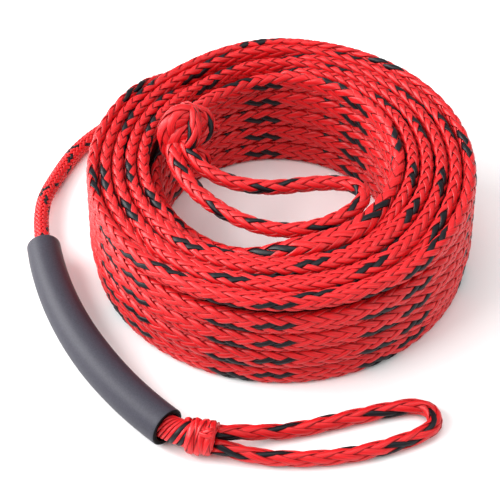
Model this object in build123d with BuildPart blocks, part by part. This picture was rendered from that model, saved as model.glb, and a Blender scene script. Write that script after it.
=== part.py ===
"""Tow rope with a foam hand sleeve, coiled for storage.

One hollow-braid rope is wound into a flat-bottomed coil of five rows and six
layers. Each end is knotted into an eye. The outer end runs round to the front,
through a loose foam sleeve and into its knot and the large towing eye.
"""
import math
import os

from build123d import *

os.makedirs("parts", exist_ok=True)

# ---- driving dimensions, in millimetres and degrees ----
rope_d = 10.0            # free rope, drawn out a little under its nominal 12
rope_floor_gap = 0.2     # the underside of a rope that lies on the floor

row_height = 15.2        # one rope on edge in the coil
row_count = 5
row_crown = 1.6          # how far a row bulges past the seam between two rows
coil_outer_r = 122.0
coil_hole_r = 72.0
coil_side = -101.5       # the coil's left side, clear of the sleeve
coil_front = -120.0      # the coil's front, clear of the handle's eye
hole_offset = (-3.0, 9.5)  # the hole lies off centre, so the coil is thinner at the back

sleeve_od = 24.5
sleeve_bore = 18.0
sleeve_edge = 0.8        # the small round on the cut ends
sleeve_bend_r = 273.5    # the sleeve lies along this arc in plan
sleeve_bend_centre = (138.5, 38.5)
sleeve_start_angle = -170.0
sleeve_sweep = 37.0
sleeve_fit_gap = 0.7     # between the sleeve's bore and the knot's nose

knot_wraps = 3
knot_wrap_width = 7.3
knot_waist_r = 10.2      # in the groove between two wraps
knot_wrap_crown = 1.7    # how far a wrap stands out of that groove
knot_heading = -10.0

inner_knot_length = 35.0
inner_knot_d = 28.0
inner_knot_seat = (-57.5, 14.5, 7.3)  # from the hole's centre at the coil's top
inner_knot_heading = 20.0

tail_d = 8.0

# ---- values worked out from the driving dimensions ----
coil_height = row_height * row_count
coil_centre = (coil_side + coil_outer_r, coil_front + coil_outer_r)
hole_centre = (coil_centre[0] + hole_offset[0], coil_centre[1] + hole_offset[1])
rope_z = rope_d / 2 + rope_floor_gap
sleeve_z = sleeve_od / 2
knot_z = sleeve_z
nose_r = sleeve_bore / 2 - sleeve_fit_gap


def cord_radii(points):
    """The largest arc that the two runs at each corner leave room for."""
    radii = []
    for before, corner, after in zip(points, points[1:], points[2:]):
        run_in = Vector(*corner) - Vector(*before)
        run_out = Vector(*after) - Vector(*corner)
        half_turn = math.radians(run_in.get_angle(run_out)) / 2
        shorter = min(run_in.length, run_out.length)
        radii.append(0.45 * shorter / math.tan(half_turn))
    return radii


def cord_path(points):
    """Straight runs joined by tangent arcs, as one wire."""
    return FilletPolyline(*points, radius=cord_radii(points))


def section_plane(points):
    """The plane across the cord at its first point."""
    start = Vector(*points[0])
    return Plane(origin=start, z_dir=Vector(*points[1]) - start)


def from_hole(points):
    """Points given from the hole's centre at the coil's top, in the part's frame."""
    hole_top = Vector(*hole_centre, coil_height)
    return [tuple(hole_top + Vector(*point)) for point in points]


def report(name, part, points, diameter):
    """Prints the cord's radii and its volume against section times length."""
    length = cord_path(points).length
    expected = math.pi * diameter**2 / 4 * length
    radii = ", ".join(f"{r:.0f}" for r in cord_radii(points))
    print(f"{name}: {length:.0f} mm long, volume {part.volume / expected:.4f} of section x length")
    print(f"  radii {radii}")


def row_profile(radius, crown):
    """A wall of bulging rows from the floor up, as points of arcs: (low, middle, high)."""
    arcs = []
    for row in range(row_count):
        low = row * row_height
        arcs.append(
            (
                (radius - crown, low),
                (radius, low + row_height / 2),
                (radius - crown, low + row_height),
            )
        )
    return arcs


# ---- the coil: one closed solid with the rows on its two walls ----
hole_axis_point = (*hole_centre, 0)
hole_clear = 5.0  # how far the cut for the hole runs past the two faces

with BuildPart() as rope_coil:
    with BuildSketch(Plane(origin=(*coil_centre, 0), x_dir=(1, 0, 0), z_dir=(0, -1, 0))):
        with BuildLine():
            Line((0, 0), (coil_outer_r - row_crown, 0))
            for low, middle, high in row_profile(coil_outer_r, row_crown):
                ThreePointArc(low, middle, high)
            Polyline((coil_outer_r - row_crown, coil_height), (0, coil_height), (0, 0))
        make_face()
    revolve(axis=Axis((*coil_centre, 0), (0, 0, 1)))
    with BuildSketch(Plane(origin=hole_axis_point, x_dir=(1, 0, 0), z_dir=(0, -1, 0))):
        with BuildLine():
            seam_r = coil_hole_r + row_crown
            Polyline((seam_r, 0), (seam_r, -hole_clear), (0, -hole_clear))
            Polyline((0, -hole_clear), (0, coil_height + hole_clear))
            Polyline((0, coil_height + hole_clear), (seam_r, coil_height + hole_clear))
            Line((seam_r, coil_height + hole_clear), (seam_r, coil_height))
            for low, middle, high in row_profile(seam_r, 0):
                ThreePointArc(low, (coil_hole_r, middle[1]), high)
        make_face()
    revolve(axis=Axis(hole_axis_point, (0, 0, 1)), mode=Mode.SUBTRACT)
rope_coil.part.label = "rope_coil"
export_step(rope_coil.part, "parts/rope_coil.step")


# ---- the lead: out of the coil's bottom row, back round and through the sleeve ----
sleeve_rope_z = sleeve_z - sleeve_bore / 2 + rope_d / 2 + 0.4  # it lies in the bore's bottom
lead_route = [
    (-19.5, 113.6, rope_z),
    (3.5, 119.5, rope_z),
    (17.5, 139.5, rope_z),
    (14.5, 163.5, rope_z),
    (-3.5, 179.5, rope_z),
    (-27.5, 179.5, rope_z),
    (-63.5, 148.5, rope_z),
    (-90.5, 117.5, rope_z),
    (-114, 92, rope_z),
    (-127, 63, rope_z),
    (-136, 31, sleeve_rope_z),
    (-131, -13.5, sleeve_rope_z),
    (-119, -57, sleeve_rope_z),
    (-100, -97.5, sleeve_rope_z),
    (-74.5, -134.5, sleeve_rope_z),
    (-51.5, -158.5, sleeve_rope_z + 1.5),
]

with BuildPart() as lead_rope:
    with BuildLine():
        cord_path(lead_route)
    with BuildSketch(section_plane(lead_route)):
        Circle(rope_d / 2)
    sweep()
lead_rope.part.label = "lead_rope"
export_step(lead_rope.part, "parts/lead_rope.step")
report("lead_rope", lead_rope.part, lead_route, rope_d)


# ---- the foam sleeve: a closed-cell tube that slides on the rope ----
sleeve_axis = Axis((*sleeve_bend_centre, 0), (0, 0, 1))


def on_bend(angle, z):
    """The point of the sleeve's bend at an angle, seen from above."""
    turn = math.radians(angle)
    return (
        sleeve_bend_centre[0] + sleeve_bend_r * math.cos(turn),
        sleeve_bend_centre[1] + sleeve_bend_r * math.sin(turn),
        z,
    )


sleeve_start = on_bend(sleeve_start_angle, sleeve_z)
start_turn = math.radians(sleeve_start_angle)
sleeve_plane = Plane(
    origin=sleeve_start,
    x_dir=(math.cos(start_turn), math.sin(start_turn), 0),
    z_dir=(-math.sin(start_turn), math.cos(start_turn), 0),
)

with BuildPart() as foam_sleeve:
    with BuildSketch(sleeve_plane):
        Circle(sleeve_od / 2)
        Circle(sleeve_bore / 2, mode=Mode.SUBTRACT)
    revolve(axis=sleeve_axis, revolution_arc=sleeve_sweep)
    end_edges = foam_sleeve.edges().filter_by(GeomType.CIRCLE)
    fillet(end_edges.filter_by(lambda e: abs(e.radius - sleeve_od / 2) < 0.01), sleeve_edge)
foam_sleeve.part.label = "foam_sleeve"
export_step(foam_sleeve.part, "parts/foam_sleeve.step")


# ---- the handle knot: a nose in the sleeve's mouth and a barrel of wraps ----
knot_turn = math.radians(knot_heading)
knot_dir = Vector(math.cos(knot_turn), math.sin(knot_turn), 0)
barrel_start = Vector(-39.5, -166.2, knot_z)
barrel_length = knot_wraps * knot_wrap_width
barrel_end = barrel_start + knot_dir * barrel_length
nose_reach = 1.1  # degrees of the sleeve's bend that the nose reaches into its mouth
nose_end = barrel_start + knot_dir * knot_wrap_width
nose_route = [
    on_bend(sleeve_start_angle + sleeve_sweep - nose_reach, knot_z),
    (-43, -166.2, knot_z),
    tuple(nose_end),
]

with BuildPart() as handle_knot:
    with BuildLine():
        cord_path(nose_route)
    with BuildSketch(section_plane(nose_route)):
        Circle(nose_r)
    sweep()
    with BuildSketch(Plane(origin=barrel_start, x_dir=knot_dir, z_dir=(0, 0, 1))):
        with BuildLine():
            Line((0, 0), (0, knot_waist_r))
            for wrap in range(knot_wraps):
                low = wrap * knot_wrap_width
                ThreePointArc(
                    (low, knot_waist_r),
                    (low + knot_wrap_width / 2, knot_waist_r + knot_wrap_crown),
                    (low + knot_wrap_width, knot_waist_r),
                )
            Polyline((barrel_length, knot_waist_r), (barrel_length, 0), (0, 0))
        make_face()
    revolve(axis=Axis(barrel_start, knot_dir))
handle_knot.part.label = "handle_knot"
export_step(handle_knot.part, "parts/handle_knot.step")


# ---- the handle eye: both its legs come out of the barrel's far end ----
handle_eye_route = [
    (-20.5, -166.5, knot_z + 1.5),
    (0.5, -161.5, 8),
    (25.5, -158.5, rope_z),
    (60.5, -147.8, rope_z),
    (87.5, -140.2, rope_z),
    (102.9, -137.7, rope_z),
    (109.6, -141.9, rope_z),
    (112.2, -149.3, rope_z),
    (109.5, -156.7, rope_z),
    (96, -164.7, rope_z),
    (70.5, -174.5, rope_z),
    (41.5, -179.8, rope_z),
    (11.5, -179.3, rope_z),
    (-8.5, -175, 6.5),
    (-20.5, -172.5, knot_z - 3.25),
]

with BuildPart() as handle_eye:
    with BuildLine():
        cord_path(handle_eye_route)
    with BuildSketch(section_plane(handle_eye_route)):
        Circle(rope_d / 2)
    sweep()
handle_eye.part.label = "handle_eye"
export_step(handle_eye.part, "parts/handle_eye.step")
report("handle_eye", handle_eye.part, handle_eye_route, rope_d)


# ---- the handle tail: the rope's cut end, tucked under the last wrap ----
tail_route = [
    (-26.5, -165, knot_z + 4.75),
    (-19.5, -163, knot_z + 6.25),
    (-11.5, -162.5, knot_z + 6.25),
]

with BuildPart() as handle_tail:
    with BuildLine():
        cord_path(tail_route)
    with BuildSketch(section_plane(tail_route)):
        Circle(tail_d / 2)
    sweep()
handle_tail.part.label = "handle_tail"
export_step(handle_tail.part, "parts/handle_tail.step")


# ---- the inner end: up from the coil's inmost row to its knot ----
inner_lead_route = from_hole(
    [
        (-5, 74.5, -row_height / 2),
        (-21, 68.5, -7),
        (-36, 57, -4),
        (-47, 42.5, 1),
        (-54, 28.5, 5),
    ]
)

with BuildPart() as inner_lead:
    with BuildLine():
        cord_path(inner_lead_route)
    with BuildSketch(section_plane(inner_lead_route)):
        Circle(rope_d / 2)
    sweep()
inner_lead.part.label = "inner_lead"
export_step(inner_lead.part, "parts/inner_lead.step")
report("inner_lead", inner_lead.part, inner_lead_route, rope_d)


# ---- the inner knot: a round lump that sits on the coil's inner edge ----
inner_turn = math.radians(inner_knot_heading)
inner_dir = Vector(math.cos(inner_turn), math.sin(inner_turn), 0)
inner_knot_centre = from_hole([inner_knot_seat])[0]

with BuildPart() as inner_knot:
    with BuildSketch(Plane(origin=inner_knot_centre, x_dir=inner_dir, z_dir=(0, 0, 1))):
        Ellipse(inner_knot_length / 2, inner_knot_d / 2)
        split(bisect_by=Plane.XZ, keep=Keep.BOTTOM)
    revolve(axis=Axis(inner_knot_centre, inner_dir))
inner_knot.part.label = "inner_knot"
export_step(inner_knot.part, "parts/inner_knot.step")


# ---- the inner eye: a loop that hangs from its knot into the coil's hole ----
inner_eye_route = from_hole(
    [
        (-63, 10.5, 3),
        (-65.5, -3.5, 0),
        (-57.5, -21, -3),
        (-45, -39, -4.5),
        (-25, -55.5, -5.5),
        (-1, -65, -6.5),
        (22.5, -62.7, -6.5),
        (40.2, -53, -6),
        (50, -44, -5.5),
        (53.5, -37, -5.5),
        (52.5, -29, -6),
        (46.5, -23.5, -6.5),
        (36.5, -21.3, -7),
        (21, -21.7, -7.5),
        (-3, -25.5, -8),
        (-25, -23, -7),
        (-43, -15.5, -4),
        (-54, -4.5, 0),
        (-59, 5.5, 3),
    ]
)

with BuildPart() as inner_eye:
    with BuildLine():
        cord_path(inner_eye_route)
    with BuildSketch(section_plane(inner_eye_route)):
        Circle(rope_d / 2)
    sweep()
inner_eye.part.label = "inner_eye"
export_step(inner_eye.part, "parts/inner_eye.step")
report("inner_eye", inner_eye.part, inner_eye_route, rope_d)


# ---- the inner tail: the other cut end, behind the inner knot ----
inner_tail_route = from_hole([(-51, 22.5, 4), (-43, 25.5, -2), (-36, 28.5, -8)])

with BuildPart() as inner_tail:
    with BuildLine():
        cord_path(inner_tail_route)
    with BuildSketch(section_plane(inner_tail_route)):
        Circle(tail_d / 2)
    sweep()
inner_tail.part.label = "inner_tail"
export_step(inner_tail.part, "parts/inner_tail.step")
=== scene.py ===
"""The looks of a coiled tow rope: braided rope, two tied eyes and a foam hand sleeve.

Everything is in metres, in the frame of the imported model: +Z up, the coil on the floor.
"""
import math

import bpy
import numpy as np
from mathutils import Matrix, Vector


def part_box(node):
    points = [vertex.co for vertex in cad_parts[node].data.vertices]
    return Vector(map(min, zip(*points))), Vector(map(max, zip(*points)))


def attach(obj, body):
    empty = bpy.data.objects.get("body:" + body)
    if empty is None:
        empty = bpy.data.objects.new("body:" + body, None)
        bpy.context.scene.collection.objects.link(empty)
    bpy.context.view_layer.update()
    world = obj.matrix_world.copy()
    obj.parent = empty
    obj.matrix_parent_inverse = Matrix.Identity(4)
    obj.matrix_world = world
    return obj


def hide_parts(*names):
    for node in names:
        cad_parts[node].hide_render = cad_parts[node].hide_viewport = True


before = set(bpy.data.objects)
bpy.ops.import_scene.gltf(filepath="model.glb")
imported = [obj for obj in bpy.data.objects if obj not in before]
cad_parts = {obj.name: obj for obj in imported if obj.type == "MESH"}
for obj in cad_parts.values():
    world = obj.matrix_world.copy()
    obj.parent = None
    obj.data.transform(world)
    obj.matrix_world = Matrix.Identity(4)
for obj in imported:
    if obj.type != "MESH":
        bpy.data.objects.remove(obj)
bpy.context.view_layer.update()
bpy.ops.object.select_all(action="DESELECT")

MM = 0.001
TAU = 2 * math.pi

# ---- sizes of the rope and of its coil ----
ROPE_R = 5.0 * MM  # the free rope, strands and all
ROWS = 5
LAYERS = 6
HOLE_R = 72.0 * MM
HOLE_OFFSET = (-3.0 * MM, 9.5 * MM)  # the hole lies off the coil's centre

coil_low, coil_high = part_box("rope_coil")
COIL_CENTRE = np.array([(coil_low.x + coil_high.x) / 2, (coil_low.y + coil_high.y) / 2])
COIL_R = (coil_high.x - coil_low.x) / 2
HOLE_CENTRE = COIL_CENTRE + np.array(HOLE_OFFSET)
COIL_TOP = coil_high.z
ROW_HEIGHT = COIL_TOP / ROWS

# ---- the braid: strands that cross over two and under two ----
STRAND_LIFT = 0.7 * MM  # how far a strand rises over the ones that it crosses
STRAND_THICK = 0.8 * MM  # half the thickness of a strand at its crown
STRAND_OVERLAP = 1.02  # a strand is a little wider than its share of the way round
SAMPLES_PER_CROSSING = 2.5
# a flat strand's section, across and outwards: a low crown over a shallow back
STRAND_SECTION = (
    (-1.0, -0.1),
    (-0.72, 0.66),
    (0.0, 1.0),
    (0.72, 0.66),
    (1.0, -0.1),
    (0.5, -0.55),
    (-0.5, -0.55),
)

# ---- routes of the rope's free stretches, as the construction has them ----
INNER_LEAD = [
    (-0.0365, 0.040, 0.081),
    (-0.0295, 0.054, 0.077),
    (-0.0185, 0.0685, 0.072),
    (-0.0035, 0.080, 0.069),
    (0.0125, 0.086, 0.0684),
]
LEAD = [
    (-0.0223, 0.1216, 0.0056),
    (0.0024, 0.1285, 0.0052),
    (0.0175, 0.1395, 0.0052),
    (0.0145, 0.1635, 0.0052),
    (-0.0035, 0.1795, 0.0052),
    (-0.0275, 0.1795, 0.0052),
    (-0.0635, 0.1485, 0.0052),
    (-0.0905, 0.1175, 0.0052),
    (-0.114, 0.092, 0.0052),
    (-0.127, 0.063, 0.0052),
    (-0.136, 0.031, 0.00865),
    (-0.131, -0.0135, 0.00865),
    (-0.119, -0.057, 0.00865),
    (-0.100, -0.0975, 0.00865),
    (-0.0745, -0.1345, 0.00865),
    (-0.0515, -0.1585, 0.01015),
]
HANDLE_EYE = [
    (-0.0205, -0.1665, 0.01375),
    (0.0005, -0.1615, 0.008),
    (0.0255, -0.1585, 0.0052),
    (0.0605, -0.1478, 0.0052),
    (0.0875, -0.1402, 0.0052),
    (0.1029, -0.1377, 0.0052),
    (0.1096, -0.1419, 0.0052),
    (0.1122, -0.1493, 0.0052),
    (0.1095, -0.1567, 0.0052),
    (0.096, -0.1647, 0.0052),
    (0.0705, -0.1745, 0.0052),
    (0.0415, -0.1798, 0.0052),
    (0.0115, -0.1793, 0.0052),
    (-0.0085, -0.175, 0.0065),
    (-0.0205, -0.1725, 0.009),
]
INNER_EYE = [
    (-0.0455, 0.022, 0.079),
    (-0.048, 0.008, 0.076),
    (-0.040, -0.0095, 0.073),
    (-0.0275, -0.0275, 0.0715),
    (-0.0075, -0.044, 0.0705),
    (0.0165, -0.0535, 0.0695),
    (0.040, -0.0512, 0.0695),
    (0.0577, -0.0415, 0.070),
    (0.0675, -0.0325, 0.0705),
    (0.071, -0.0255, 0.0705),
    (0.070, -0.0175, 0.070),
    (0.064, -0.012, 0.0695),
    (0.054, -0.0098, 0.069),
    (0.0385, -0.0102, 0.0685),
    (0.0145, -0.014, 0.068),
    (-0.0075, -0.0115, 0.069),
    (-0.0255, -0.004, 0.072),
    (-0.0365, 0.007, 0.076),
    (-0.0415, 0.017, 0.079),
]


# ---------------------------------------------------------------- materials
def colour(hex_code):
    """An sRGB hex colour as a linear RGBA."""
    channels = [int(hex_code[i : i + 2], 16) / 255 for i in (1, 3, 5)]
    linear = [c / 12.92 if c <= 0.04045 else ((c + 0.055) / 1.055) ** 2.4 for c in channels]
    return (*linear, 1.0)


def add_node(material, kind, settings=None, stops=(), **links):
    """Adds a node: its settings, a colour ramp's stops, and inputs set or linked.

    An input goes by its name, or by "i" and its number.
    """
    tree = material.node_tree
    node = tree.nodes.new(kind)
    for key, value in (settings or {}).items():
        setattr(node, key, value)
    for number, (place, hex_code) in enumerate(stops):
        elements = node.color_ramp.elements
        element = elements[number] if number < 2 else elements.new(place)
        element.position = place
        element.color = colour(hex_code)
    for name, value in links.items():
        by_number = name[0] == "i" and name[1:].isdigit()
        socket = node.inputs[int(name[1:]) if by_number else name.replace("_", " ")]
        if isinstance(value, bpy.types.NodeSocket):
            tree.links.new(value, socket)
        else:
            socket.default_value = value
    return node


def new_material(name):
    material = bpy.data.materials.new(name)
    material.use_nodes = True
    material.node_tree.nodes.clear()
    return material


def close_material(material, shader):
    output = add_node(material, "ShaderNodeOutputMaterial")
    material.node_tree.links.new(shader.outputs[0], output.inputs["Surface"])
    return material


def strand_material(name, dark, mid, light, roughness, gloss, sheen):
    """Polypropylene yarn, coloured in the melt and drawn into fibres that lie side by side.

    The eye sees fine streaks along each flat strand and a soft waxy gloss on its crown.
    A darker line along its edges, where it dips under its neighbours, is painted shade.
    The attribute "lay" holds the place across and along the strand, in metres, and
    how near its edge it is, from 0 to 1.
    """
    material = new_material(name)
    fibre_width = 0.35 * MM  # coarser than the real fibre, so that it shows
    fibre_length = 14 * MM
    lay = add_node(material, "ShaderNodeAttribute", {"attribute_name": "lay"})
    stretched = add_node(
        material,
        "ShaderNodeMapping",
        Vector=lay.outputs["Vector"],
        Scale=(1 / fibre_width, 1 / fibre_length, 1.0),
    )
    fibres = add_node(
        material, "ShaderNodeTexNoise", Vector=stretched.outputs[0], Scale=1.0, Detail=2.0
    )
    tones = [(0.3, dark), (0.5, mid), (0.75, light)]
    tint = add_node(material, "ShaderNodeValToRGB", stops=tones, i0=fibres.outputs[0])
    place = add_node(material, "ShaderNodeSeparateXYZ", Vector=lay.outputs["Vector"])
    # painted shade: this ramp darkens each strand towards its edges, where it dips under its
    # neighbours
    tones = [(0.74, "#FFFFFF"), (1.0, "#B4B4B4")]
    edge = add_node(material, "ShaderNodeValToRGB", stops=tones, i0=place.outputs["Z"])
    # the yarn's tint times the painted edge shade
    edge_shaded_tint = add_node(
        material,
        "ShaderNodeMix",
        {"data_type": "RGBA", "blend_type": "MULTIPLY"},
        i0=1.0,
        i6=tint.outputs[0],
        i7=edge.outputs[0],
    )
    bump = add_node(
        material, "ShaderNodeBump", Height=fibres.outputs[0], Distance=0.12 * MM, Strength=0.6
    )
    shader = add_node(
        material,
        "ShaderNodeBsdfPrincipled",
        Base_Color=edge_shaded_tint.outputs[2],
        Roughness=roughness,
        Normal=bump.outputs[0],
    )
    shader.inputs["IOR"].default_value = 1.49
    shader.inputs["Specular IOR Level"].default_value = gloss
    shader.inputs["Sheen Weight"].default_value = sheen
    shader.inputs["Sheen Roughness"].default_value = 0.4
    return close_material(material, shader)


def core_material():
    """Polypropylene yarn on the inside of the braid, where the strands' backs lie.

    Its dull dark red, seen in the gaps between strands, is painted shade: the same red yarn,
    darkened because little light gets in.
    """
    material = new_material("polypropylene_yarn_inside_painted_shade")
    yarn_width = 1.11 * MM  # about half a strand, so that the red is uneven from gap to gap
    coords = add_node(material, "ShaderNodeTexCoord")
    noise = add_node(
        material,
        "ShaderNodeTexNoise",
        Vector=coords.outputs["Object"],
        Scale=1 / yarn_width,
        Detail=1.0,
    )
    # painted shade: an uneven dull dark red for the yarn that lies in the dark inside the braid
    tones = [(0.3, "#4A060A"), (0.7, "#740A10")]
    tint = add_node(material, "ShaderNodeValToRGB", stops=tones, i0=noise.outputs[0])
    shader = add_node(
        material, "ShaderNodeBsdfPrincipled", Base_Color=tint.outputs[0], Roughness=0.8
    )
    return close_material(material, shader)


def foam_material(name, dark, light, gloss):
    """Closed-cell EVA foam, extruded as a tube and cut to length with a blade.

    The eye sees a matt dark grey skin with a fine even grain, and at the cut ends open cells
    that take in the light and look almost black. The bore gets the same near-black as painted
    shade.
    """
    material = new_material(name)
    cell_width = 0.9 * MM  # coarser than the real cells of about 0.3 mm, so that they show
    coords = add_node(material, "ShaderNodeTexCoord")
    grain = add_node(
        material,
        "ShaderNodeTexNoise",
        Vector=coords.outputs["Object"],
        Scale=1 / cell_width,
        Detail=3.0,
    )
    tones = [(0.3, dark), (0.7, light)]
    tint = add_node(material, "ShaderNodeValToRGB", stops=tones, i0=grain.outputs[0])
    bump = add_node(
        material, "ShaderNodeBump", Height=grain.outputs[0], Distance=0.08 * MM, Strength=0.35
    )
    shader = add_node(
        material,
        "ShaderNodeBsdfPrincipled",
        Base_Color=tint.outputs[0],
        Roughness=0.5,
        Normal=bump.outputs[0],
    )
    shader.inputs["Specular IOR Level"].default_value = gloss
    return close_material(material, shader)


def floor_material():
    """Board with matt white paint, rolled on: plain and pale, with no gloss to show lights."""
    material = new_material("painted_board")
    shader = add_node(
        material, "ShaderNodeBsdfPrincipled", Base_Color=colour("#FBFBFB"), Roughness=0.9
    )
    return close_material(material, shader)


RED = strand_material("polypropylene_yarn_red", "#AE060C", "#D20A12", "#EE222A", 0.4, 0.4, 0.05)
# the tracer strands: the same yarn coloured with soot, which hides its streaks
BLACK = strand_material("polypropylene_yarn_black", "#050408", "#09080F", "#171520", 0.4, 0.28, 0.0)
# the third paint, for the rope's inside, is painted shade
PAINTS = [RED, BLACK, core_material()]
RED_PAINT, BLACK_PAINT, CORE_SHADE_PAINT = range(3)
FOAM = foam_material("eva_foam_skin", "#2E2D36", "#3A3944", 0.3)
# the cut ends' own near-black, which the bore also gets as painted shade
FOAM_CUT_AND_SHADED_BORE = foam_material("eva_foam_cut_and_shaded_bore", "#040405", "#09090B", 0.1)


# ---------------------------------------------------------------- meshes
def make_piece(name, parts, body="rope"):
    """A smooth mesh piece that rides on a body.

    parts lists what it is made of, as (points, faces, lay, the number of its material
    in PAINTS, or one number for each face).
    """
    starts = np.cumsum([0] + [len(points) for points, _, _, _ in parts])
    vertices = np.concatenate([points for points, _, _, _ in parts])
    lay = np.concatenate([place for _, _, place, _ in parts])
    faces = [face + start for start, part in zip(starts, parts) for face in part[1]]
    painted = np.concatenate(
        [np.broadcast_to(paint, len(part_faces)) for _, part_faces, _, paint in parts]
    )
    used, painted = np.unique(painted, return_inverse=True)
    mesh = bpy.data.meshes.new(name)
    mesh.vertices.add(len(vertices))
    mesh.vertices.foreach_set("co", np.asarray(vertices, np.float32).ravel())
    sizes = np.array([len(face) for face in faces], np.int32)
    corners = np.concatenate([np.asarray(face, np.int32) for face in faces])
    first_corners = np.concatenate([[0], np.cumsum(sizes)[:-1]])
    mesh.loops.add(len(corners))
    mesh.loops.foreach_set("vertex_index", corners)
    mesh.polygons.add(len(sizes))
    mesh.polygons.foreach_set("loop_start", first_corners.astype(np.int32))
    mesh.polygons.foreach_set("use_smooth", np.ones(len(sizes), bool))
    mesh.polygons.foreach_set("material_index", painted.astype(np.int32))
    mesh.update(calc_edges=True)
    attribute = mesh.attributes.new("lay", "FLOAT_VECTOR", "POINT")
    attribute.data.foreach_set("vector", np.asarray(lay, np.float32).ravel())
    mesh.validate()
    piece = bpy.data.objects.new(name, mesh)
    bpy.context.scene.collection.objects.link(piece)
    for number in used:
        mesh.materials.append(PAINTS[number])
    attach(piece, body)
    return piece


def tube_faces(rings, sides):
    """Quads round a closed tube of rings, with its two end caps."""
    ring, side = np.meshgrid(np.arange(rings - 1), np.arange(sides), indexing="ij")
    following = (side + 1) % sides
    here = ring * sides
    there = here + sides
    quads = np.stack([here + side, here + following, there + following, there + side], -1)
    caps = [np.arange(sides)[::-1], np.arange(sides) + (rings - 1) * sides]
    return list(quads.reshape(-1, 4)) + caps


# ---------------------------------------------------------------- the rope's line
def line_of(points, steps=8):
    """The points of a smooth line through a route: a NURBS spline that it controls."""
    curve = bpy.data.curves.new("route", "CURVE")
    curve.dimensions = "3D"
    curve.resolution_u = steps
    spline = curve.splines.new("NURBS")
    spline.points.add(len(points) - 1)
    for point, place in zip(spline.points, points):
        point.co = (*place, 1.0)
    spline.order_u = 3
    spline.use_endpoint_u = True
    carrier = bpy.data.objects.new("route", curve)
    mesh = bpy.data.meshes.new_from_object(carrier)
    line = np.array([vertex.co for vertex in mesh.vertices])
    bpy.data.meshes.remove(mesh)
    bpy.data.objects.remove(carrier)
    bpy.data.curves.remove(curve)
    return line


ROUND = 1.0  # the power of the sine and cosine in a round or oval section
PRESSED = 0.8  # and in the squarer one of turns that are pressed together


def section_place(angle, shape):
    """Where an angle falls on a section of half size 1, and the way that the skin faces."""
    x, y = np.cos(angle), np.sin(angle)
    reach_x, reach_y = np.maximum(abs(x), 0.001), np.maximum(abs(y), 0.001)
    place = (x * reach_x ** (shape - 1), y * reach_y ** (shape - 1))
    facing = (x * reach_x ** (1 - shape), y * reach_y ** (1 - shape))
    return place, facing


class Rope:
    """A stretch of rope: its line and, at each point, its section's two half sizes.

    turn holds how far the strands have turned at each point, in whole turns, where that
    follows the coil's turns and not the rope's length.
    """

    def __init__(self, line, half_out, half_up, turn=None, up=(0, 0, 1), shape=ROUND):
        self.line = line
        self.up = np.array(up) / np.linalg.norm(up)
        self.shape = shape
        steps = np.linalg.norm(np.diff(line, axis=0), axis=1)
        self.along = np.concatenate([[0.0], np.cumsum(steps)])
        self.half_out = half_out
        self.half_up = half_up
        self.turn = turn

    def part(self, first, last):
        """The same rope between two of its points."""
        cut = slice(first, last + 1)
        return Rope(
            self.line[cut],
            self.half_out[cut],
            self.half_up[cut],
            None if self.turn is None else self.turn[cut],
            self.up,
            self.shape,
        )

    def at(self, distances):
        """Centres, outward and upward directions and half sizes at distances along it."""

        def here(values):
            return np.interp(distances, self.along, values)

        centre = np.stack([here(self.line[:, axis]) for axis in range(3)], -1)
        tangent = np.gradient(centre, axis=0)
        tangent /= np.linalg.norm(tangent, axis=1)[:, None]
        out = np.cross(tangent, self.up)
        out /= np.linalg.norm(out, axis=1)[:, None]
        up = np.cross(out, tangent)
        return centre, out, up, here(self.half_out), here(self.half_up)


ASPECTS = np.linspace(-1.6, 1.6, 33)  # the logarithm of half_up over half_out
SHARES = np.linspace(0, 1, 129)  # of the way round


def even_angles(shape):
    """For each aspect of an oval, the angle at each share of the way round it."""
    table = []
    for aspect in ASPECTS:
        angle = np.linspace(0, TAU, 721)
        (x, y), _ = section_place(angle, shape)
        y = y * math.exp(aspect)
        length = np.concatenate([[0], np.cumsum(np.hypot(np.diff(x), np.diff(y)))])
        table.append(np.interp(SHARES, length / length[-1], angle))
    return np.array(table)


ANGLE_TABLES = {shape: even_angles(shape) for shape in (ROUND, PRESSED)}


def oval_angle(share, half_out, half_up, shape):
    """The angle of a point that lies a share of the way round an oval."""
    whole = np.floor(share)
    aspect = np.clip(np.log(half_up / half_out), ASPECTS[0], ASPECTS[-1])
    row = (aspect - ASPECTS[0]) / (ASPECTS[1] - ASPECTS[0])
    column = (share - whole) * (len(SHARES) - 1)
    above = np.clip(row.astype(int), 0, len(ASPECTS) - 2)
    before = np.clip(column.astype(int), 0, len(SHARES) - 2)
    down, on = row - above, column - before
    table = ANGLE_TABLES[shape]
    value = (
        table[above, before] * (1 - down) * (1 - on)
        + table[above + 1, before] * down * (1 - on)
        + table[above, before + 1] * (1 - down) * on
        + table[above + 1, before + 1] * down * on
    )
    return value + whole * TAU


def oval_round(half_out, half_up):
    """The way round an oval, by the usual close formula for an ellipse."""
    flatness = ((half_out - half_up) / (half_out + half_up)) ** 2
    longer = 1 + 3 * flatness / (10 + np.sqrt(4 - 3 * flatness))
    return math.pi * (half_out + half_up) * longer


def core(rope, spacing, inset, sides=14):
    """The inside of the rope: a plain closed tube that fills the braid."""
    count = max(4, int(rope.along[-1] / spacing))
    centre, out, up, half_out, half_up = rope.at(np.linspace(0, rope.along[-1], count))
    angle = np.linspace(0, TAU, sides, endpoint=False)
    ring = (
        centre[:, None]
        + out[:, None] * ((half_out - inset)[:, None] * np.cos(angle))[..., None]
        + up[:, None] * ((half_up - inset)[:, None] * np.sin(angle))[..., None]
    )
    points = ring.reshape(-1, 3)
    return (points, tube_faces(count, sides), points, CORE_SHADE_PAINT), centre


ALL_RED = {}
ALL_ROUND = (0.0, 1.0)
WALL_SIDE = (0.37, 1.0)  # all but the top, which lies in the groove under the next row
LOW_SIDE = (0.5, 1.0)  # from the middle of the outer wall down


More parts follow.
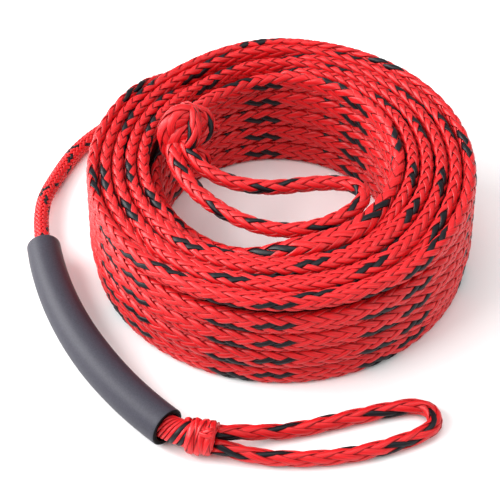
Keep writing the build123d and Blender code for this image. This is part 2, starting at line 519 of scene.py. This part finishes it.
def braid(
    rope,
    count,
    lay,
    black=ALL_RED,
    phase=0.0,
    lift=STRAND_LIFT,
    thick=STRAND_THICK,
    ways=(1, -1),
):
    """The strands of a hollow braid, half of them turning each way.

    lay is the length of one whole turn of a strand, or the turns are in rope.turn.
    black gives each dark strand, (direction, number), its width as a part of a red
    one's and the part of the way round the rope where it is dark. ways lists the
    directions.
    """
    if rope.turn is None:
        turn_of_point = rope.along / lay
    else:
        turn_of_point = rope.turn
    turns = abs(turn_of_point[-1] - turn_of_point[0])
    samples = max(8, int(turns * count * SAMPLES_PER_CROSSING))
    # even steps of the braid, so that each crossing has as many samples
    order = np.argsort(turn_of_point)
    even = np.linspace(turn_of_point[0], turn_of_point[-1], samples)
    distance = np.interp(even, turn_of_point[order], rope.along[order])
    centre, out, up, half_out, half_up = rope.at(distance)
    skin = lift + thick
    half_out, half_up = half_out - skin, half_up - skin
    around = oval_round(half_out + lift, half_up + lift)
    pace = abs(np.gradient(even) / np.maximum(np.gradient(distance), 1e-9))
    slant = np.arctan(around * pace)
    red_half_width = around / count * np.cos(slant) * STRAND_OVERLAP
    section = np.array(STRAND_SECTION)
    parts = {}
    for direction in ways:
        for number in range(count // 2):
            width, dark_from, dark_to = black.get((direction, number), (1.0, 0.0, 0.0))
            half_width = red_half_width * width
            share = number * 2 / count + direction * even + phase
            if direction < 0:
                share = share - 3 / count
            angle = oval_angle(share, half_out, half_up, rope.shape)
            place, facing = section_place(angle, rope.shape)
            wave = np.cos(TAU * (share - phase + 1 / count) * count / 4)
            wave = direction * wave * (1.5 - 0.5 * wave**2)  # flat on top, over both strands
            normal = out * (facing[0] / half_out)[:, None] + up * (facing[1] / half_up)[:, None]
            normal /= np.linalg.norm(normal, axis=1)[:, None]
            middle = (
                centre
                + out * (half_out * place[0])[:, None]
                + up * (half_up * place[1])[:, None]
                + normal * (lift * wave)[:, None]
            )
            tangent = np.gradient(middle, axis=0)
            tangent /= np.linalg.norm(tangent, axis=1)[:, None]
            across = np.cross(normal, tangent)
            across /= np.linalg.norm(across, axis=1)[:, None]
            rings = (
                middle[:, None]
                + across[:, None] * (half_width[:, None] * section[:, 0])[..., None]
                + normal[:, None] * (thick * section[:, 1])[None, :, None]
            )
            own_fibres = number * 0.1 + (direction > 0) * 2.0  # so no two strands look alike
            lay_across = half_width[:, None] * section[:, 0] + own_fibres
            lay_along = np.repeat(distance[:, None], len(section), 1)
            # how near the strand's edge each point lies, which the yarn material uses for its
            # painted edge shade
            near_edge = np.zeros_like(lay_across) + abs(section[:, 0])
            lay_place = np.stack([lay_across, lay_along, near_edge], -1)
            round_place = share[:-1] % 1.0
            dark = (round_place >= dark_from) & (round_place < dark_to)
            paint = np.where(np.repeat(dark, len(section)), BLACK_PAINT, RED_PAINT)
            paint = np.concatenate([paint, paint[[0, -1]]])  # and the two end caps
            key = "right" if direction > 0 else "left"
            faces = tube_faces(samples, len(section))
            strand = (rings.reshape(-1, 3), faces, lay_place.reshape(-1, 3), paint)
            parts.setdefault(key, []).append(strand)
    return parts


# ---------------------------------------------------------------- the coil
LEAVE = {"out": 110.0, "down": 128.0, "in": 146.0, "up": 92.0}  # degrees, at the back
LEAVE_INNER = -90.0  # the inmost layer steps down at the front, out of sight
LEAVE_LAST = 132.0  # where the last turn leaves the coil as the lead
SHORTEST_TURN = 120.0  # a step comes at least this far after the one before
STEP_HALF = 13.0  # half the angle that a step from turn to turn takes
INNER_STEP = 1.4  # the inmost layer's steps are this much longer
POINTS_PER_TURN = 24
FLOOR_LIFT = 0.35 * MM  # keeps the crowns of the lowest strands above the floor
DRAWN_IN = 1.1 * MM  # the lowest turn of the wall is pressed in a little

# The top row at the front lies flat, with two of its turns underneath the others:
# place across the coil, half width, height of the middle and half height.
FRONT_TOP = [
    (0.145, 7.7 * MM, 71.4 * MM, 4.5 * MM),
    (0.300, 4.2 * MM, 64.8 * MM, 4.0 * MM),
    (0.425, 7.2 * MM, 71.8 * MM, 4.2 * MM),
    (0.680, 6.6 * MM, 71.6 * MM, 4.4 * MM),
    (0.800, 4.2 * MM, 64.6 * MM, 4.0 * MM),
    (0.900, 5.8 * MM, 70.8 * MM, 5.2 * MM),
]


def winding():
    """The turns in the order in which they are wound, as (layer, row, how it leaves)."""
    up, down = list(range(ROWS)), list(range(ROWS))[::-1]
    cells = [(0, row) for row in down]
    for layer, rows in ((1, up), (2, down), (3, up)):
        cells += [(layer, row) for row in rows]
    cells += [(4, 4), (5, 4), (5, 3), (4, 3), (4, 2), (5, 2), (5, 1), (4, 1), (4, 0), (5, 0)]
    turns = []
    for here, there in zip(cells, cells[1:] + [(LAYERS, 0)]):
        way = {(1, 0): "out", (-1, 0): "in", (0, 1): "up", (0, -1): "down"}[
            (there[0] - here[0], there[1] - here[1])
        ]
        turns.append((*here, way))
    return turns


COIL_START = 80.0
turns = winding()
leaving = []
last = COIL_START
for layer, row, way in turns:
    target = LEAVE_INNER if layer == 0 else LEAVE[way]
    if (layer, row) == (LAYERS - 1, 0):
        target = LEAVE_LAST
    while target > last - SHORTEST_TURN:
        target -= 360
    leaving.append(target)
    last = target


def smooth(share):
    """A share from 0 to 1 that starts and ends gently."""
    share = np.clip(share, 0, 1)
    return share * share * (3 - 2 * share)


def cell_at(angle):
    """The layer and row, as smooth numbers, at a wound angle in degrees."""
    layer, row = float(turns[0][0]), float(turns[0][1])
    places = [cell[:2] for cell in turns] + [(LAYERS, 0)]
    for k, at in enumerate(leaving):
        half = STEP_HALF * (INNER_STEP if turns[k][0] == 0 else 1.0)
        if angle < at + half:
            share = float(smooth((at + half - angle) / (2 * half)))
            layer = places[k][0] + (places[k + 1][0] - places[k][0]) * share
            row = places[k][1] + (places[k + 1][1] - places[k][1]) * share
        else:
            break
    return layer, row


def front_share(angle):
    """1 at the front of the coil, 0 at the sides and back."""
    return float(smooth((math.cos(math.radians(angle + 90)) - 0.45) / 0.4))


def place_in_coil(angle):
    """Centre and half sizes of the rope at a wound angle in degrees."""
    layer, row = cell_at(angle)
    turn = math.radians(angle)
    outward = np.array([math.cos(turn), math.sin(turn)])
    inside = HOLE_CENTRE + HOLE_R * outward
    outside = COIL_CENTRE + COIL_R * outward
    share = (layer + 0.5) / LAYERS
    half_out = float((outside - inside) @ outward) / LAYERS / 2
    height = (row + 0.5) * ROW_HEIGHT
    half_up = ROW_HEIGHT / 2
    top = max(0.0, min(1.0, row - (ROWS - 2))) * front_share(angle)
    if top > 0 and layer <= LAYERS - 1:
        low = int(layer)
        high = min(low + 1, LAYERS - 1)
        part = layer - low
        front = np.array(FRONT_TOP[low]) * (1 - part) + np.array(FRONT_TOP[high]) * part
        share += (front[0] - share) * top
        half_out += (front[1] - half_out) * top
        height += (front[2] - height) * top
        half_up += (front[3] - half_up) * top
    flat = inside + (outside - inside) * share
    lowest = max(0.0, 1 - row)
    outmost = max(0.0, layer - (LAYERS - 2))
    height += FLOOR_LIFT * lowest
    half_out -= DRAWN_IN * lowest * outmost
    flat = flat - outward * DRAWN_IN * lowest * outmost
    return (*flat, height), half_out, half_up


coil_angles = np.arange(COIL_START, leaving[-1], -360 / POINTS_PER_TURN)
coil_places = [place_in_coil(a) for a in coil_angles]
grow = 1 / math.cos(math.pi / POINTS_PER_TURN)  # a spline runs a little inside its points


def pushed_out(place):
    """The control point that puts the line at a place on a round turn."""
    flat = np.array(place[:2]) - HOLE_CENTRE
    return (*(HOLE_CENTRE + flat * grow), place[2])


route = INNER_LEAD + [pushed_out(place) for place, _, _ in coil_places] + LEAD
# the inner lead is round at the knot and pressed flat where it meets the coil
half_out = [ROPE_R] * 3 + [4.2 * MM] * 2 + [out for _, out, _ in coil_places] + [ROPE_R] * len(LEAD)
half_up = [ROPE_R] * 3 + [6.5 * MM] * 2 + [up for _, _, up in coil_places] + [ROPE_R] * len(LEAD)
line = line_of(route)
control = np.linspace(0.5, len(route) - 1.5, len(line))  # the nearest control point
number = np.arange(len(route))
angle_of_point = COIL_START - (control - len(INNER_LEAD)) * 360 / POINTS_PER_TURN
main = Rope(
    line,
    np.interp(control, number, half_out),
    np.interp(control, number, half_up),
    shape=PRESSED,
)


def point_at_angle(angle):
    """The number of the line's point at a wound angle."""
    return int(np.argmin(abs(angle_of_point - angle)))


LAYS_OUTER = 8  # whole turns of a strand in one turn of the coil
LAYS_INNER = 7
LAYS_TOP = 7.6  # on top the black marks fall at another angle in each turn
PHASE_WALL = 0.155  # puts a column of crossings just above the middle of the outer wall
PHASE_TOP = 0.0  # and here the meeting of two columns at the crown of the top turns
PHASE_INNER = 0.39  # and the black marks of the hole's wall to the right and left of its back
MARK_SHIFT = 0.614  # of a lay: brings the black marks to their places round the coil
STEP_IN = 30.0  # degrees that a stretch's strands run on under its neighbours


def coil_stretch(first, last, lays, lead_in=0.0, lead_out=0.0):
    """The rope of the wound turns first..last, with its strands' turns worked out."""
    i = point_at_angle(leaving[first - 1] + lead_in) if first else 0
    j = point_at_angle(leaving[last] - lead_out)
    stretch = main.part(i, j)
    stretch.turn = angle_of_point[i : j + 1] / 360 * lays + MARK_SHIFT
    return stretch


core_part, rope_path = core(main, spacing=5 * MM, inset=2.2 * MM)
rope_core = make_piece("rope_core", [core_part])
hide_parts("rope_coil", "lead_rope", "inner_lead")

# the tracer strands of each stretch, as braid() takes them
BLACK_WALL = {
    (-1, 0): (0.95, *WALL_SIDE),
    (-1, 1): (0.95, *WALL_SIDE),
    (1, 1): (1.05, *LOW_SIDE),
    (1, 2): (1.05, *LOW_SIDE),
}
BLACK_RIM = BLACK_WALL | {(-1, 0): (0.95, *ALL_ROUND), (-1, 1): (0.95, *ALL_ROUND)}
BLACK_TOP = {(-1, 0): (1.1, *ALL_ROUND), (-1, 1): (1.1, *ALL_ROUND)}
BLACK_INNER = {(1, 0): (0.85, *ALL_ROUND), (1, 1): (0.85, *ALL_ROUND)}
BLACK_LEAD = {
    (1, 0): (1.0, *ALL_ROUND),
    (1, 1): (1.0, *ALL_ROUND),
    (-1, 0): (1.0, *ALL_ROUND),
}
index = {(layer, row): k for k, (layer, row, _) in enumerate(turns)}
MOST_POINTS = 90_000  # in one piece, which keeps it under 200,000 triangles


def add_strands(name, *settings):
    """The strands of a stretch as one piece, or as one piece each way if there are many."""
    groups = braid(*settings)
    points = sum(len(part[0]) for parts in groups.values() for part in parts)
    if points < MOST_POINTS:
        groups = {"strands": [part for parts in groups.values() for part in parts]}
    for key, parts in groups.items():
        make_piece(f"{name}_{key}", parts)


def visible(name, first, last, count, lays, black, phase=PHASE_WALL, ends=(STEP_IN, STEP_IN)):
    """The strands of the turns from one (layer, row) to another, which can be seen."""
    stretch = coil_stretch(index[first], index[last], lays, *ends)
    add_strands(name, stretch, count, 0, black, phase)


visible("inner_layer", (0, 4), (0, 0), 12, LAYS_INNER, BLACK_INNER, PHASE_INNER)
visible("top_inner_turns", (1, 4), (2, 4), 16, LAYS_TOP, BLACK_TOP, PHASE_TOP)
visible("top_outer_turns", (3, 4), (4, 4), 16, LAYS_TOP, BLACK_TOP, PHASE_TOP)
visible("rim_turn", (5, 4), (5, 4), 16, LAYS_OUTER, BLACK_RIM, ends=(STEP_IN, 0.0))
visible("outer_row_high", (5, 3), (5, 3), 16, LAYS_OUTER, BLACK_WALL, ends=(0.0, STEP_IN))
visible("outer_rows_middle", (5, 2), (5, 1), 16, LAYS_OUTER, BLACK_WALL)
visible("outer_rows_low", (4, 0), (5, 0), 16, LAYS_OUTER, BLACK_WALL)
visible("bottom_turns", (2, 0), (3, 0), 16, LAYS_TOP, BLACK_TOP)

lead = main.part(point_at_angle(leaving[-1]), len(line) - 1)
lead.shape = ROUND
LEAD_COUNT = 24  # here the braid is drawn out, and its strands are finer
LEAD_LAY = 46 * MM
LEAD_LIFT = 0.4 * MM
LEAD_THICK = 0.45 * MM
add_strands("lead", lead, LEAD_COUNT, LEAD_LAY, BLACK_LEAD, 0.2, LEAD_LIFT, LEAD_THICK)


# ---------------------------------------------------------------- the two eyes
SHORT_INSET = 2.0 * MM  # from a short rope's outside to its core


def short_rope(points, half_out, half_up, count, lay, black=ALL_RED, phase=0.0, up=(0, 0, 1)):
    """A short stretch of rope on its own route, with its inside and all its strands.

    half_out and half_up are its half sizes, one number or several spread along it.
    """
    route_line = line_of(points, 24)
    share = np.linspace(0, 1, len(route_line))
    half_out, half_up = np.atleast_1d(half_out), np.atleast_1d(half_up)
    rope = Rope(
        route_line,
        np.interp(share, np.linspace(0, 1, len(half_out)), half_out),
        np.interp(share, np.linspace(0, 1, len(half_up)), half_up),
        up=up,
    )
    inside, path = core(rope, 3 * MM, SHORT_INSET)
    strands = braid(rope, count, lay, black, phase)
    return rope, path, [inside] + [part for parts in strands.values() for part in parts]


def eye(name, points, half_out, half_up, lay):
    """An eye of rope that goes back into its knot, with two black strands in it."""
    rope, path, parts = short_rope(points, half_out, half_up, 12, lay, EYE_BLACK)
    piece = make_piece(f"{name}_rope", parts)
    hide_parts(name)


EYE_BLACK = {(1, 5): (0.8, *ALL_ROUND), (-1, 2): (0.8, *ALL_ROUND)}
INNER_EYE_WIDE = [5.6 * MM, 5.8 * MM] + [ROPE_R] * 7 + [4.8 * MM] * 2
eye("handle_eye", HANDLE_EYE, ROPE_R, ROPE_R, 103 * MM)
eye("inner_eye", INNER_EYE, INNER_EYE_WIDE, ROPE_R, 66 * MM)


# ---------------------------------------------------------------- the knot at the handle
def plug(rope, inset, paint):
    """A plain closed tube inside a rope, all along it."""
    part, _ = core(rope, 2 * MM, inset)
    return (*part[:3], paint)


KNOT_START = np.array([-39.5, -166.2, 12.25]) * MM
KNOT_HEADING = math.radians(-10)
KNOT_ALONG = np.array([math.cos(KNOT_HEADING), math.sin(KNOT_HEADING), 0])
KNOT_ACROSS = np.array([-math.sin(KNOT_HEADING), math.cos(KNOT_HEADING), 0])
KNOT_UP = np.array([0, 0, 1.0])
WRAPS = 3
WRAP_POINTS = 12  # control points in each wrap
WRAP_PITCH = 5.2 * MM
WRAP_R = 8.0 * MM  # from the knot's axis to the middle of the wrapped rope


def wrap_route():
    """The wraps' helix, that comes up from inside the knot and goes back into it."""
    points = []
    for k in range(WRAPS * WRAP_POINTS + 1):
        turn = k / WRAP_POINTS
        angle = TAU * (0.1 - turn)
        radius = (WRAP_R + 0.35 * MM * math.sin(5.1 * turn)) / math.cos(math.pi / WRAP_POINTS)
        middle = KNOT_START + KNOT_ALONG * (3.4 * MM + WRAP_PITCH * turn)
        points.append(middle + radius * (KNOT_ACROSS * math.cos(angle) + KNOT_UP * math.sin(angle)))
    inside = 0.45  # of the way out, where the rope's two ends are held
    first = KNOT_START + KNOT_ALONG * 2.0 * MM + (points[0] - KNOT_START) * inside
    last_middle = KNOT_START + KNOT_ALONG * 19.0 * MM
    last = last_middle + (points[-1] - last_middle) * inside
    return [tuple(point) for point in [first, *points, last]]


WRAP_HALF_UP = [3.5 * MM, 3.8 * MM, 3.4 * MM, 3.7 * MM]
wraps = short_rope(wrap_route(), 3.6 * MM, WRAP_HALF_UP, 8, 76 * MM, up=KNOT_ALONG)[2]
# the nose: the strands are gathered where the rope goes into the wraps, and twist one way
NOSE = [(-0.0518, -0.1579, 0.01225), (-0.0430, -0.1655, 0.01225), (-0.0310, -0.1677, 0.01225)]
nose_line = line_of(NOSE, 24)
nose_size = np.full(len(nose_line), 8.1 * MM)
nose = Rope(nose_line, nose_size, nose_size)
NOSE_BLACK = {(1, 0): (1.05, *ALL_ROUND), (1, 2): (1.3, *ALL_ROUND)}
nose_strands = braid(nose, 16, 20 * MM, NOSE_BLACK, 0.175, 0.0, 0.6 * MM, ways=(1,))
# the heart fills the wraps, where the eye's two legs lie side by side
heart_line = line_of([tuple(KNOT_START), tuple(KNOT_START + KNOT_ALONG * 17 * MM)])
heart_size = np.full(len(heart_line), 6.0 * MM)
handle_knot = make_piece(
    "handle_knot_rope",
    wraps
    + [part for parts in nose_strands.values() for part in parts]
    + [plug(nose, 1.4 * MM, CORE_SHADE_PAINT)]
    + [plug(Rope(heart_line, heart_size, heart_size), 0, CORE_SHADE_PAINT)],
)
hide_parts("handle_knot")


def tail(name, points, half):
    """A knot's short tail, with its cut end melted into a low dome."""
    rope, _, parts = short_rope(points, half, half, 12, 50 * MM)
    end = rope.line[-1]
    way = end - rope.line[-6]
    way /= np.linalg.norm(way)
    dome_line = np.array([end - way * 2 * MM, end, end + way * 0.35 * MM, end + way * 0.6 * MM])
    dome_size = np.array([half - 0.8 * MM, half - 0.5 * MM, half - 0.8 * MM, half - 2 * MM])
    parts.append(plug(Rope(dome_line, dome_size, dome_size), 0, RED_PAINT))
    piece = make_piece(f"{name}_rope", parts)
    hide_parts(name)


HANDLE_TAIL = [(-0.0305, -0.1690, 0.0155), (-0.0275, -0.1735, 0.0205), (-0.0205, -0.1745, 0.0222)]
tail("handle_tail", HANDLE_TAIL, 3.7 * MM)

# ---------------------------------------------------------------- the knot in the hole
INNER_KNOT = np.array([-40.5, 25.0, 83.0]) * MM
ACROSS = np.array([1.0, 0, 0])
RISING = np.array([0, 1, 1]) / math.sqrt(2)
FACING = np.array([0, -1, 1]) / math.sqrt(2)


def in_knot(points):
    """Places in the inner knot, from millimetres across, up and towards the front of it."""
    return [tuple(INNER_KNOT + (ACROSS * u + RISING * v + FACING * w) * MM) for u, v, w in points]


# the bundle goes over the knot, the wrap ties it, and the loop and the foot lie behind
KNOT_BUNDLE = [
    (-8, -15, -4),
    (-10, -7, 3),
    (-9, 2, 7),
    (-2, 8, 8),
    (5, 9, 4),
    (11, 6, -4),
]
KNOT_WRAP = [
    (0, 13, -3),
    (5, 12, 5),
    (7, 4, 9),
    (7, -4, 10),
    (4, -12, 7),
    (0, -16, 0),
    (-1, -14, -6),
]
KNOT_LOOP = [
    (4, 11, -3),
    (11, 12, -2),
    (16, 5, -3),
    (15, -3, -3),
    (9, -9, -1),
    (3, -11, -2),
]
KNOT_FOOT = [(3, -13, -2), (9, -14, -1), (14, -19, -4), (13, -25, -9)]
KNOT_MIDDLE = [(-9, -9, 0), (-3, -3, 3), (4, 1, 3), (9, 3, -2)]
BUNDLE_WIDE = [6.5 * MM, 7.6 * MM, 7.8 * MM, 7.2 * MM, 5.5 * MM]
WRAP_BLACK = {(1, 4): (0.9, *ALL_ROUND), (1, 5): (0.9, *ALL_ROUND)}
ONE_BLACK = {(1, 0): (1.0, *ALL_ROUND)}


def knot_rope(points, half_out, half_up, lay, black=ALL_RED, phase=0.0):
    """One of the inner knot's stretches of rope, all with their width across the front."""
    return short_rope(in_knot(points), half_out, half_up, 12, lay, black, phase, FACING)[2]


bundle = knot_rope(KNOT_BUNDLE, BUNDLE_WIDE, 5 * MM, 90 * MM)
wrap = knot_rope(KNOT_WRAP, 4.7 * MM, 4.4 * MM, 90 * MM, WRAP_BLACK, 0.153)
loop = knot_rope(KNOT_LOOP, 4.4 * MM, 4.4 * MM, 80 * MM, ONE_BLACK, 0.1)
foot = knot_rope(KNOT_FOOT, 4.0 * MM, 4.2 * MM, 80 * MM, ONE_BLACK, 0.1)
middle = knot_rope(KNOT_MIDDLE, 7.5 * MM, 7.5 * MM, 90 * MM)
inner_knot = make_piece("inner_knot_rope", bundle + wrap + loop + foot + middle)
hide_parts("inner_knot")
INNER_TAIL = [(-0.0335, 0.034, 0.080), (-0.0255, 0.037, 0.0765), (-0.0200, 0.038, 0.0715)]
tail("inner_tail", INNER_TAIL, 4.0 * MM)

# ---------------------------------------------------------------- the foam sleeve
SLEEVE_OD = 24.5 * MM
SLEEVE_BORE = 18 * MM
SLEEVE_EDGE = 0.8 * MM  # how far the blade's cut is worn round
BEND_R = 273.5 * MM
BEND_CENTRE = Vector((138.5 * MM, 38.5 * MM, 12.25 * MM))
SLEEVE_START = math.radians(-170)
SLEEVE_SWEEP = math.radians(37)
SLEEVE_SIDES = 64
SLEEVE_STEPS = 80


def foam_sleeve():
    """An extruded tube of foam, cut square at both ends and bent to the rope's curve."""
    bpy.ops.object.select_all(action="DESELECT")
    outward = Vector((math.cos(SLEEVE_START), math.sin(SLEEVE_START), 0))
    bpy.ops.mesh.primitive_circle_add(
        vertices=SLEEVE_SIDES,
        radius=SLEEVE_OD / 2,
        fill_type="NGON",
        location=BEND_CENTRE + outward * BEND_R,
        rotation=(math.pi / 2, 0, SLEEVE_START),
    )
    sleeve = bpy.context.object
    sleeve.name = "foam_sleeve_skin"
    bpy.ops.object.transform_apply(location=True, rotation=True, scale=True)
    bpy.ops.object.mode_set(mode="EDIT")
    bpy.ops.mesh.select_mode(type="FACE")
    bpy.ops.mesh.select_all(action="SELECT")
    bpy.ops.mesh.inset(thickness=(SLEEVE_OD - SLEEVE_BORE) / 2)
    bpy.ops.mesh.delete(type="FACE")
    bpy.ops.mesh.select_all(action="SELECT")
    bpy.ops.mesh.spin(steps=SLEEVE_STEPS, angle=-SLEEVE_SWEEP, center=BEND_CENTRE, axis=(0, 0, 1))
    bpy.ops.mesh.select_all(action="SELECT")
    bpy.ops.mesh.remove_doubles(threshold=0.01 * MM)
    bpy.ops.mesh.normals_make_consistent(inside=False)
    bpy.ops.object.mode_set(mode="OBJECT")
    return sleeve


def bend_place(point):
    """A point's angle round the bend, and its distance from the middle of the foam."""
    flat = point - BEND_CENTRE
    angle = math.atan2(flat.y, flat.x)
    return angle, math.hypot(math.hypot(flat.x, flat.y) - BEND_R, flat.z)


def from_end(angle):
    """How far round the bend an angle lies from the nearer end."""
    return min(abs(angle - SLEEVE_START), abs(angle - SLEEVE_START - SLEEVE_SWEEP))


def draw_in(mesh):
    """Draws the foam in where the rope's thin end goes into it."""
    for vertex in mesh.vertices:
        flat = vertex.co - BEND_CENTRE
        angle = math.atan2(flat.y, flat.x)
        middle = BEND_CENTRE + Vector((math.cos(angle), math.sin(angle), 0)) * BEND_R
        share = min(1.0, (angle - SLEEVE_START) / SLEEVE_SWEEP / NARROW_LENGTH)
        if (vertex.co - middle).length > SLEEVE_BORE / 2 + 1 * MM:
            vertex.co = middle + (vertex.co - middle) * (NARROW_END + (1 - NARROW_END) * share)


def select_ends(mesh):
    """Selects the flat faces at both ends, and nothing else."""
    for group in (mesh.vertices, mesh.edges, mesh.polygons):
        group.foreach_set("select", np.zeros(len(group), bool))
    for face in mesh.polygons:
        face.select = from_end(bend_place(face.center)[0]) < 0.0005


NARROW_END = 0.88  # of the sleeve's full width
NARROW_LENGTH = 0.6  # of the sleeve's length, over which it widens
sleeve = foam_sleeve()
draw_in(sleeve.data)
select_ends(sleeve.data)
bpy.ops.object.mode_set(mode="EDIT")
bpy.ops.mesh.select_mode(type="EDGE")
bpy.ops.mesh.bevel(offset=SLEEVE_EDGE, segments=3, affect="EDGES")
bpy.ops.object.mode_set(mode="OBJECT")
sleeve.data.materials.append(FOAM)
sleeve.data.materials.append(FOAM_CUT_AND_SHADED_BORE)
# the cut ends get the cut foam's near-black, and the bore gets it too as painted shade
for face in sleeve.data.polygons:
    angle, reach = bend_place(face.center)
    outer = reach > (SLEEVE_BORE / 2 + SLEEVE_OD / 2 * NARROW_END) / 2
    face.material_index = 0 if outer and from_end(angle) * BEND_R > 0.3 * MM else 1
bpy.ops.object.select_all(action="DESELECT")
sleeve.select_set(True)
bpy.context.view_layer.objects.active = sleeve
bpy.ops.object.shade_smooth_by_angle(angle=math.radians(40))
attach(sleeve, "sleeve")
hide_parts("foam_sleeve")

# ---------------------------------------------------------------- stage, camera, light
bpy.ops.mesh.primitive_plane_add(size=6.0, location=(0, 0, 0))
floor = bpy.context.object
floor.name = "studio_floor"
floor.data.materials.append(floor_material())

CAMERA_PLACE = Vector((0.0009, -1.0978, 1.0977))
CAMERA_TARGET = Vector((0.0009, -0.0371, 0.0370))
camera_data = bpy.data.cameras.new("camera")
camera_data.sensor_width = 36.0  # millimetres, and so is the lens
camera_data.lens = 173.4
camera = bpy.data.objects.new("camera", camera_data)
camera.location = CAMERA_PLACE
camera.rotation_euler = (CAMERA_TARGET - CAMERA_PLACE).to_track_quat("-Z", "Y").to_euler()
bpy.context.scene.collection.objects.link(camera)
bpy.context.scene.camera = camera


LIT_PLACE = Vector((0, 0, 0.03))  # the middle of the coil, which the lamps point at


def softbox(name, place, size, power):
    """A square softbox, its size in metres and its power in watts."""
    light = bpy.data.lights.new(name, "AREA")
    light.shape = "SQUARE"
    light.size = size
    light.energy = power
    lamp = bpy.data.objects.new(name, light)
    lamp.location = place
    lamp.rotation_euler = (LIT_PLACE - Vector(place)).to_track_quat("-Z", "Y").to_euler()
    bpy.context.scene.collection.objects.link(lamp)


softbox("key", (-1.4, -0.7, 1.4), 1.1, 27.0)
softbox("left_rim", (-1.5, 0.5, 0.8), 1.2, 42.0)
softbox("fill", (1.2, -0.6, 1.3), 1.2, 7.0)
softbox("overhead", (0, 0.1, 1.8), 1.0, 9.5)
world = bpy.data.worlds.new("studio")
world.use_nodes = True
background = world.node_tree.nodes["Background"]
background.inputs["Color"].default_value = colour("#FFFFFF")
background.inputs["Strength"].default_value = 0.55
bpy.context.scene.world = world
bpy.context.scene.view_settings.view_transform = "Standard"
